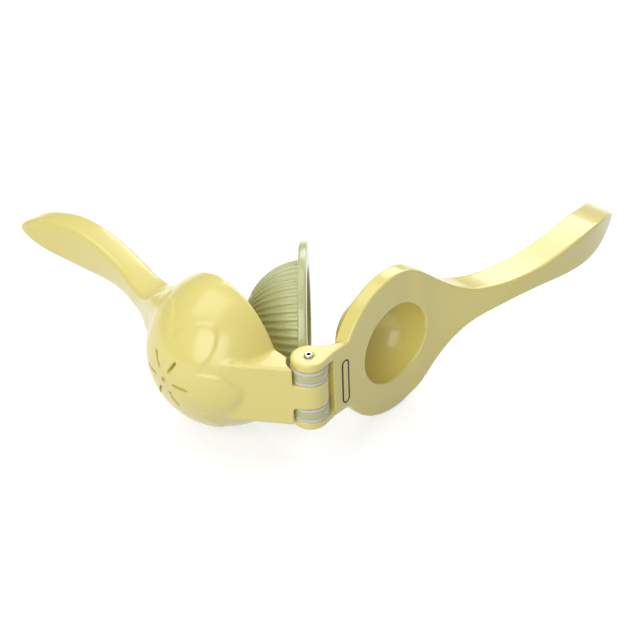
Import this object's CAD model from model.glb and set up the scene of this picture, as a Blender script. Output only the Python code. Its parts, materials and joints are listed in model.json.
import json
from math import cos, degrees, pi, radians, sin

import bmesh
import bpy
from mathutils import Matrix, Vector
from mathutils.geometry import intersect_point_line


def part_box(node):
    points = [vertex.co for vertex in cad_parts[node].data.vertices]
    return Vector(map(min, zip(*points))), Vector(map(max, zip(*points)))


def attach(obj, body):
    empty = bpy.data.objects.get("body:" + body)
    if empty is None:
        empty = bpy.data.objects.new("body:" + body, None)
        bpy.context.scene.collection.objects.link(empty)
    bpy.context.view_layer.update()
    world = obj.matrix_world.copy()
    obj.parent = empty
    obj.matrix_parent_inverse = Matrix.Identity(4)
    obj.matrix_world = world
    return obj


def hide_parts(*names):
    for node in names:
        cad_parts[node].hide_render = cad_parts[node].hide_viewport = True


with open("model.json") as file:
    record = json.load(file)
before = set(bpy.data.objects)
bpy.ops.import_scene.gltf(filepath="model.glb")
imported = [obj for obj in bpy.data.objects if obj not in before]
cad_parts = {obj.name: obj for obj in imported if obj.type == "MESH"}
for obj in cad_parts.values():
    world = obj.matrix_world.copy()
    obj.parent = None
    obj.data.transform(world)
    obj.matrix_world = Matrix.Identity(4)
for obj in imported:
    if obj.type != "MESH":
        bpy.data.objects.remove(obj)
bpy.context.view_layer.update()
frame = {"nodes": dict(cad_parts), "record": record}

# Bowl arm: one aluminium die casting with the slotted bowl, the hinge lug and the left handle.
# A thick pale yellow enamel is baked on it, which runs soft over every edge and fills the corners.
# Its middle knuckle turns on the hinge pin.
hinge = Vector(frame["record"]["behaviour"]["joints"][0]["pos_m"])
BOWL_TURN = radians(129.9)
YELLOW = (0.82, 0.71, 0.20)
YELLOW_THIN = (0.84, 0.74, 0.24)
YELLOW_ROUGH = 0.32
CLEAR_COAT = 0.6
COAT_ROUGH = 0.15
GLOSS_SPREAD = 0.04
DRIFT_SCALE = 28
DRIFT_DETAIL = 3
PEEL_SCALE = 420
PEEL_DETAIL = 1
PEEL_STRENGTH = 0.04
PEEL_DEPTH = 0.0002
ARM_GRAIN = 0.00065
ARM_PASSES = 3
RELAX = 0.5
WELD = 0.00001
HOLLOW_STEP = 5
FADE = 0.6


def placed(name, data):
    piece = bpy.data.objects.new(name, data)
    bpy.context.collection.objects.link(piece)
    return piece


def opened(mesh):
    shape = bmesh.new()
    shape.from_mesh(mesh)
    return shape


def closed(shape, mesh):
    shape.to_mesh(mesh)
    shape.free()
    return mesh


def applied(piece):
    # the piece's modifiers are made part of its mesh
    done = piece.evaluated_get(bpy.context.evaluated_depsgraph_get())
    mesh = bpy.data.meshes.new_from_object(done)
    piece.modifiers.clear()
    piece.data = mesh


def turned(name, profile, centre, axis, steps):
    # a closed outline of points turned once round an axis
    shape = bmesh.new()
    section = [shape.verts.new(point) for point in profile]
    lines = [shape.edges.new((section[k - 1], section[k])) for k in range(len(section))]
    bmesh.ops.spin(
        shape,
        geom=section + lines,
        cent=centre,
        axis=axis,
        angle=2 * pi,
        steps=steps,
        use_merge=True,
    )
    bmesh.ops.remove_doubles(shape, verts=shape.verts, dist=WELD)
    bmesh.ops.recalc_face_normals(shape, faces=shape.faces)
    return closed(shape, bpy.data.meshes.new(name))


def welded(node):
    # a copy of the node's mesh and its shape, with the loose triangles joined
    mesh = frame["nodes"][node].data.copy()
    shape = opened(mesh)
    bmesh.ops.remove_doubles(shape, verts=shape.verts, dist=WELD)
    return mesh, shape


def casting(node, grain, passes, added=None):
    # the solid covered with an even fine skin and relaxed, as a coat of enamel rounds a casting
    mesh, shape = welded(node)
    if added:
        shape.from_mesh(added)
    closed(shape, mesh)
    core = placed(node + "_core", mesh)
    piece = placed(node + "_enamelled", mesh)
    skin = piece.modifiers.new("skin", "REMESH")
    skin.mode = "VOXEL"
    skin.voxel_size = grain
    skin.use_smooth_shade = True
    cling = piece.modifiers.new("cling", "SHRINKWRAP")
    cling.wrap_method = "NEAREST_SURFACEPOINT"
    cling.target = core
    relax = piece.modifiers.new("relax", "SMOOTH")
    relax.factor = RELAX
    relax.iterations = passes
    applied(piece)
    bpy.data.objects.remove(core)
    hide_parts(node)
    return piece


def on_arm(turn, along, out, up):
    # a place given from the pin: along the arm, towards the bowl's outside, and up
    return hinge + Matrix.Rotation(turn, 3, "Z") @ Vector((along, out, up))


def upright(along, out, half):
    # a line through a place on the bowl arm, parallel to the pin
    return on_arm(BOWL_TURN, along, out, -half), on_arm(BOWL_TURN, along, out, half)


def lying(start, end):
    # a line between two places at the bowl arm's middle height
    return on_arm(BOWL_TURN, *start, 0), on_arm(BOWL_TURN, *end, 0)


def in_hollow(point):
    pull = Vector((0, 0, 0))
    for edge in point.link_edges:
        pull += edge.other_vert(point).co - point.co
    return pull.dot(point.normal) > 0


def soften(piece, line, reach, passes, fill_only):
    # melts the skin near a line into a wide soft blend, less and less towards the reach's border;
    # enamel that only fills the hollows leaves the edges beside them sharp
    start, end = line
    shape = opened(piece.data)
    near = []
    for point in shape.verts:
        foot, share = intersect_point_line(point.co, start, end)
        foot = start if share < 0 else end if share > 1 else foot
        distance = (point.co - foot).length
        if distance < reach:
            near.append((distance / reach, point))
    for step in range(passes):
        if step % HOLLOW_STEP == 0:
            shape.normal_update()
            part = [point for share, point in near if share < 1 - FADE * step / passes]
            if fill_only:
                part = [point for point in part if in_hollow(point)]
        bmesh.ops.smooth_vert(
            shape, verts=part, factor=RELAX, use_axis_x=True, use_axis_y=True, use_axis_z=True
        )
    closed(shape, piece.data)


def enamel(name, colour, thin_colour, roughness, coat):
    # the colour and gloss drift with the coat's thickness, over a faint orange peel
    material = bpy.data.materials.new(name)
    material.use_nodes = True
    nodes = material.node_tree.nodes
    links = material.node_tree.links
    shader = nodes["Principled BSDF"]
    shader.inputs["Coat Weight"].default_value = coat
    shader.inputs["Coat Roughness"].default_value = COAT_ROUGH
    place = nodes.new("ShaderNodeTexCoord")
    drift = nodes.new("ShaderNodeTexNoise")
    drift.inputs["Scale"].default_value = DRIFT_SCALE
    drift.inputs["Detail"].default_value = DRIFT_DETAIL
    tint = nodes.new("ShaderNodeMix")
    tint.data_type = "RGBA"
    tint.inputs["A"].default_value = (*colour, 1)
    tint.inputs["B"].default_value = (*thin_colour, 1)
    gloss = nodes.new("ShaderNodeMapRange")
    gloss.inputs["To Min"].default_value = roughness - GLOSS_SPREAD
    gloss.inputs["To Max"].default_value = roughness + GLOSS_SPREAD
    peel = nodes.new("ShaderNodeTexNoise")
    peel.inputs["Scale"].default_value = PEEL_SCALE
    peel.inputs["Detail"].default_value = PEEL_DETAIL
    skin = nodes.new("ShaderNodeBump")
    skin.inputs["Strength"].default_value = PEEL_STRENGTH
    skin.inputs["Distance"].default_value = PEEL_DEPTH
    links.new(place.outputs["Object"], drift.inputs["Vector"])
    links.new(place.outputs["Object"], peel.inputs["Vector"])
    links.new(drift.outputs["Fac"], tint.inputs["Factor"])
    links.new(drift.outputs["Fac"], gloss.inputs["Value"])
    links.new(tint.outputs["Result"], shader.inputs["Base Color"])
    links.new(gloss.outputs["Result"], shader.inputs["Roughness"])
    links.new(peel.outputs["Fac"], skin.inputs["Height"])
    links.new(skin.outputs["Normal"], shader.inputs["Normal"])
    return material


def finish_piece(piece, body, material):
    piece.data.materials.clear()
    piece.data.materials.append(material)
    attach(piece, body)


CUP_REACH = 0.0504
BOWL_MID = 0.0079
BOWL_R = 0.0374
BOWL_WALL = 0.0032
BOWL_IN = (BOWL_R - BOWL_WALL) / BOWL_R
PLUG_ANGLES = (0.0, 0.1, 0.2, 0.3, 0.4, 0.46)
PLUG_STEPS = 64
NECK_AT = (0.082, 0.027)
NECK_HALF = 0.012
NECK_FILL_REACH = 0.024
NECK_FILL_PASSES = 260
NECK_MELT_REACH = 0.018
NECK_MELT_PASSES = 70
LUG_ROOT = (0.0226, 0.0285)
LUG_HALF = 0.015
LUG_FILL_REACH = 0.010
LUG_FILL_PASSES = 40
GRIP_START = (0.105, 0.009)
GRIP_END = (0.190, 0.009)
GRIP_MELT_REACH = 0.019
GRIP_MELT_PASSES = 30
PETAL_POLE = (0.0504, 0.0453)
PETAL_FOOT = (0.0504, 0.0463)
PETAL_REACH = 0.045
PETAL_PASSES = 6
yellow = enamel("yellow_enamel", YELLOW, YELLOW_THIN, YELLOW_ROUGH, CLEAR_COAT)
bowl_axis = Matrix.Rotation(BOWL_TURN, 3, "Z") @ Vector((0, 1, 0))
cap = [(BOWL_R * sin(turn), BOWL_R * cos(turn)) for turn in PLUG_ANGLES]
cap += [(across * BOWL_IN, out * BOWL_IN) for across, out in reversed(cap)]
cap = [on_arm(BOWL_TURN, CUP_REACH + across, BOWL_MID + out, 0) for across, out in cap]
plug = turned("bowl_plug", cap, on_arm(BOWL_TURN, CUP_REACH, 0, 0), bowl_axis, PLUG_STEPS)
bowl_arm = casting("bowl_arm", ARM_GRAIN, ARM_PASSES, plug)
neck = upright(*NECK_AT, NECK_HALF)
soften(bowl_arm, neck, NECK_FILL_REACH, NECK_FILL_PASSES, True)
soften(bowl_arm, neck, NECK_MELT_REACH, NECK_MELT_PASSES, False)
soften(bowl_arm, upright(*LUG_ROOT, LUG_HALF), LUG_FILL_REACH, LUG_FILL_PASSES, True)
soften(bowl_arm, lying(GRIP_START, GRIP_END), GRIP_MELT_REACH, GRIP_MELT_PASSES, False)
soften(bowl_arm, lying(PETAL_POLE, PETAL_FOOT), PETAL_REACH, PETAL_PASSES, False)

# the six radial slots and the middle hole are milled through the enamelled bowl
SLOT_COUNT = 6
SLOT_SIDES = 20
SLOT_W = 0.0016
SLOT_HALF = 0.0035
SLOT_AT = 0.0102
HOLE_D = 0.0027
shape = bmesh.new()
for k in range(SLOT_COUNT):
    slot = bmesh.ops.create_cone(
        shape,
        cap_ends=True,
        segments=SLOT_SIDES,
        radius1=SLOT_W / 2,
        radius2=SLOT_W / 2,
        depth=BOWL_R,
        matrix=Matrix.Rotation(pi / SLOT_SIDES, 4, "Z"),
    )
    for point in slot["verts"]:
        point.co.x += SLOT_AT + (SLOT_HALF if point.co.x > 0 else -SLOT_HALF)
    bmesh.ops.rotate(shape, verts=slot["verts"], matrix=Matrix.Rotation(2 * pi * k / SLOT_COUNT, 3, "Z"))
bmesh.ops.create_cone(
    shape, cap_ends=True, segments=2 * SLOT_SIDES, radius1=HOLE_D / 2, radius2=HOLE_D / 2, depth=BOWL_R
)
mill = Matrix.Translation(on_arm(BOWL_TURN, CUP_REACH, BOWL_MID + BOWL_R, 0))
mill = mill @ Matrix.Rotation(BOWL_TURN, 4, "Z") @ Matrix.Rotation(-pi / 2, 4, "X")
bmesh.ops.transform(shape, matrix=mill, verts=shape.verts)
cutter = placed("slot_cutter", closed(shape, bpy.data.meshes.new("slot_cutter")))
cut = bowl_arm.modifiers.new("slots", "BOOLEAN")
cut.operation = "DIFFERENCE"
cut.solver = "MANIFOLD"
cut.object = cutter
applied(bowl_arm)
bpy.data.objects.remove(cutter)
finish_piece(bowl_arm, "bowl", yellow)

# Insert: a thinner casting with a flange and a ribbed cup for small fruit.
# It has a sage green enamel with a little more gloss than the arms.
# Its two knuckles turn on the same pin, above and below the bowl arm's.
SAGE = (0.52, 0.54, 0.24)
SAGE_THIN = (0.56, 0.58, 0.29)
SAGE_ROUGH = 0.26
INSERT_GRAIN = 0.00052
INSERT_PASSES = 2
sage = enamel("sage_enamel", SAGE, SAGE_THIN, SAGE_ROUGH, CLEAR_COAT)
insert = casting("insert", INSERT_GRAIN, INSERT_PASSES)
finish_piece(insert, "insert", sage)

# Washers: four turned nylon discs keep the enamelled knuckles from rubbing on each other.
# They sit loose on the pin, and their rims are broken by a small round.
NYLON = (0.66, 0.65, 0.59)
NYLON_THIN = (0.72, 0.70, 0.64)
NYLON_ROUGH = 0.45
NO_COAT = 0.0
WASHER_BORE = 0.00205
WASHER_ROUND = 0.0003
WASHER_STEPS = 72
ROUND_STEPS = 3
RIM_ANGLE = 45
nylon = enamel("washer_nylon", NYLON, NYLON_THIN, NYLON_ROUGH, NO_COAT)
for name in ("washer_top", "washer_upper", "washer_lower", "washer_bottom"):
    low, high = (Vector(corner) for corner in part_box(name))
    rim = (high.x - low.x) / 2
    corners = ((WASHER_BORE, low.z), (rim, low.z), (rim, high.z), (WASHER_BORE, high.z))
    section = [(hinge.x + radius, hinge.y, height) for radius, height in corners]
    mesh = turned(name + "_turned", section, hinge, (0, 0, 1), WASHER_STEPS)
    shape = opened(mesh)
    rims = [edge for edge in shape.edges if degrees(edge.calc_face_angle()) > RIM_ANGLE]
    bmesh.ops.bevel(
        shape,
        geom=rims,
        offset=WASHER_ROUND,
        segments=ROUND_STEPS,
        profile=0.5,
        affect="EDGES",
        material=-1,
    )
    closed(shape, mesh)
    mesh.shade_smooth()
    washer = placed(name + "_turned", mesh)
    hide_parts(name)
    finish_piece(washer, "insert", nylon)

# Press arm: the second aluminium casting, in the same yellow enamel, with crisper edges.
# It is a ring with a hollow pressing dome, a window plate with two hinge ears and the right handle.
# The ears hold the ends of the pin.
press_arm = casting("press_arm", ARM_GRAIN, ARM_PASSES)
finish_piece(press_arm, "press", yellow)

# Plate frame: a bare dark line let into the flat between the ears and the ring.
# Its groove is filled with black lacquer, which stands a touch proud.
INK = (0.012, 0.012, 0.012)
INK_THIN = (0.02, 0.02, 0.02)
INK_ROUGH = 0.55
PRESS_TURN = radians(45.5)
FRAME_PROUD = 0.00015
ink = enamel("frame_inlay", INK, INK_THIN, INK_ROUGH, NO_COAT)
frame_mesh, shape = welded("plate_frame")
outwards = Matrix.Rotation(PRESS_TURN, 3, "Z") @ Vector((0, -FRAME_PROUD, 0))
bmesh.ops.translate(shape, vec=outwards, verts=shape.verts)
plate_frame = placed("plate_frame_lacquered", closed(shape, frame_mesh))
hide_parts("plate_frame")
finish_piece(plate_frame, "press", ink)

# Hinge pin: a stainless steel bar held in the ears, with a hexagon socket in its upper end.
# Its polish is a little uneven, and the socket is dark inside.
STEEL = (0.62, 0.61, 0.60, 1)
SOCKET_DARK = (0.05, 0.05, 0.05, 1)
SOCKET_R = 0.0012
POLISH_SCALE = 900
POLISH_ROUGH = (0.18, 0.32)
steel = bpy.data.materials.new("pin_steel")
steel.use_nodes = True
nodes = steel.node_tree.nodes
links = steel.node_tree.links
shader = nodes["Principled BSDF"]
shader.inputs["Metallic"].default_value = 1
pin_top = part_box("hinge_pin")[1][2]
place = nodes.new("ShaderNodeTexCoord")
from_socket = nodes.new("ShaderNodeVectorMath")
from_socket.operation = "DISTANCE"
from_socket.inputs[1].default_value = (hinge.x, hinge.y, pin_top - SOCKET_R / 2)
in_socket = nodes.new("ShaderNodeMath")
in_socket.operation = "LESS_THAN"
in_socket.inputs[1].default_value = SOCKET_R
bore = nodes.new("ShaderNodeMix")
bore.data_type = "RGBA"
bore.inputs["A"].default_value = STEEL
bore.inputs["B"].default_value = SOCKET_DARK
links.new(place.outputs["Object"], from_socket.inputs[0])
links.new(from_socket.outputs["Value"], in_socket.inputs[0])
links.new(in_socket.outputs["Value"], bore.inputs["Factor"])
links.new(bore.outputs["Result"], shader.inputs["Base Color"])
polish = nodes.new("ShaderNodeTexNoise")
polish.inputs["Scale"].default_value = POLISH_SCALE
worn = nodes.new("ShaderNodeMapRange")
worn.inputs["To Min"].default_value = POLISH_ROUGH[0]
worn.inputs["To Max"].default_value = POLISH_ROUGH[1]
links.new(place.outputs["Object"], polish.inputs["Vector"])
links.new(polish.outputs["Fac"], worn.inputs["Value"])
links.new(worn.outputs["Result"], shader.inputs["Roughness"])
hinge_pin = frame["nodes"]["hinge_pin"]
hinge_pin.data.materials.clear()
hinge_pin.data.materials.append(steel)

# Studio: a wide sheet of white paper under the press, which the camera and reflections see as white.
# It still takes the press's soft shadow, and three softboxes light the press from front, top and back.
PAPER = 0.5
PAPER_GLOW = 0.66
PAPER_HALF = 4
WORLD_LIGHT = 0.3
SOFTBOXES = (
    ("key_light", (-0.5, -1.05, 0.75), (1.1, 1.1), 11),
    ("top_light", (-0.35, 0.2, 1.2), (0.9, 0.9), 4.5),
    ("back_light", (0.45, 0.9, 0.72), (1.1, 0.6), 8),
)
shape = bmesh.new()
bmesh.ops.create_grid(shape, x_segments=1, y_segments=1, size=PAPER_HALF)
paper = placed("paper", closed(shape, bpy.data.meshes.new("paper")))
sheet = bpy.data.materials.new("white_paper")
sheet.use_nodes = True
nodes = sheet.node_tree.nodes
links = sheet.node_tree.links
nodes.clear()
out = nodes.new("ShaderNodeOutputMaterial")
matt = nodes.new("ShaderNodeBsdfDiffuse")
matt.inputs["Color"].default_value = (PAPER, PAPER, PAPER, 1)
glow = nodes.new("ShaderNodeEmission")
path = nodes.new("ShaderNodeLightPath")
seen = nodes.new("ShaderNodeMath")
seen.operation = "MAXIMUM"
seen_all = nodes.new("ShaderNodeMath")
seen_all.operation = "MAXIMUM"
level = nodes.new("ShaderNodeMath")
level.operation = "MULTIPLY"
level.inputs[1].default_value = PAPER_GLOW
both = nodes.new("ShaderNodeAddShader")
links.new(path.outputs["Is Camera Ray"], seen.inputs[0])
links.new(path.outputs["Is Glossy Ray"], seen.inputs[1])
links.new(seen.outputs["Value"], seen_all.inputs[0])
links.new(path.outputs["Is Transmission Ray"], seen_all.inputs[1])
links.new(seen_all.outputs["Value"], level.inputs[0])
links.new(level.outputs["Value"], glow.inputs["Strength"])
links.new(matt.outputs["BSDF"], both.inputs[0])
links.new(glow.outputs["Emission"], both.inputs[1])
links.new(both.outputs["Shader"], out.inputs["Surface"])
paper.data.materials.append(sheet)

world = bpy.data.worlds.new("studio")
bpy.context.scene.world = world
world.use_nodes = True
sky = world.node_tree.nodes["Background"]
sky.inputs["Strength"].default_value = WORLD_LIGHT
sky.inputs["Color"].default_value = (1, 1, 1, 1)

for name, stand, (width, height), watts in SOFTBOXES:
    light = bpy.data.lights.new(name, "AREA")
    light.shape = "RECTANGLE"
    light.size = width
    light.size_y = height
    light.energy = watts
    lamp = placed(name, light)
    lamp.location = stand
    lamp.rotation_euler = (hinge - Vector(stand)).to_track_quat("-Z", "Y").to_euler()

# Camera: a long lens on a stand in front of the hinge, looking down at the press.
# It is rolled a little, as the photograph's was.
CAMERA_FROM_HINGE = Vector((0.00566, -0.680762, 0.53234))
CAMERA_TILT = radians(54)
CAMERA_ROLL = radians(-2.09)
FOCAL_MM = 106.9
SENSOR_MM = 36
lens = bpy.data.cameras.new("camera")
lens.lens = FOCAL_MM
lens.sensor_width = SENSOR_MM
camera = placed("camera", lens)
stand = Matrix.Translation(hinge + CAMERA_FROM_HINGE)
camera.matrix_world = stand @ Matrix.Rotation(CAMERA_TILT, 4, "X") @ Matrix.Rotation(CAMERA_ROLL, 4, "Z")
bpy.context.scene.camera = camera
bpy.context.scene.view_settings.view_transform = "Standard"
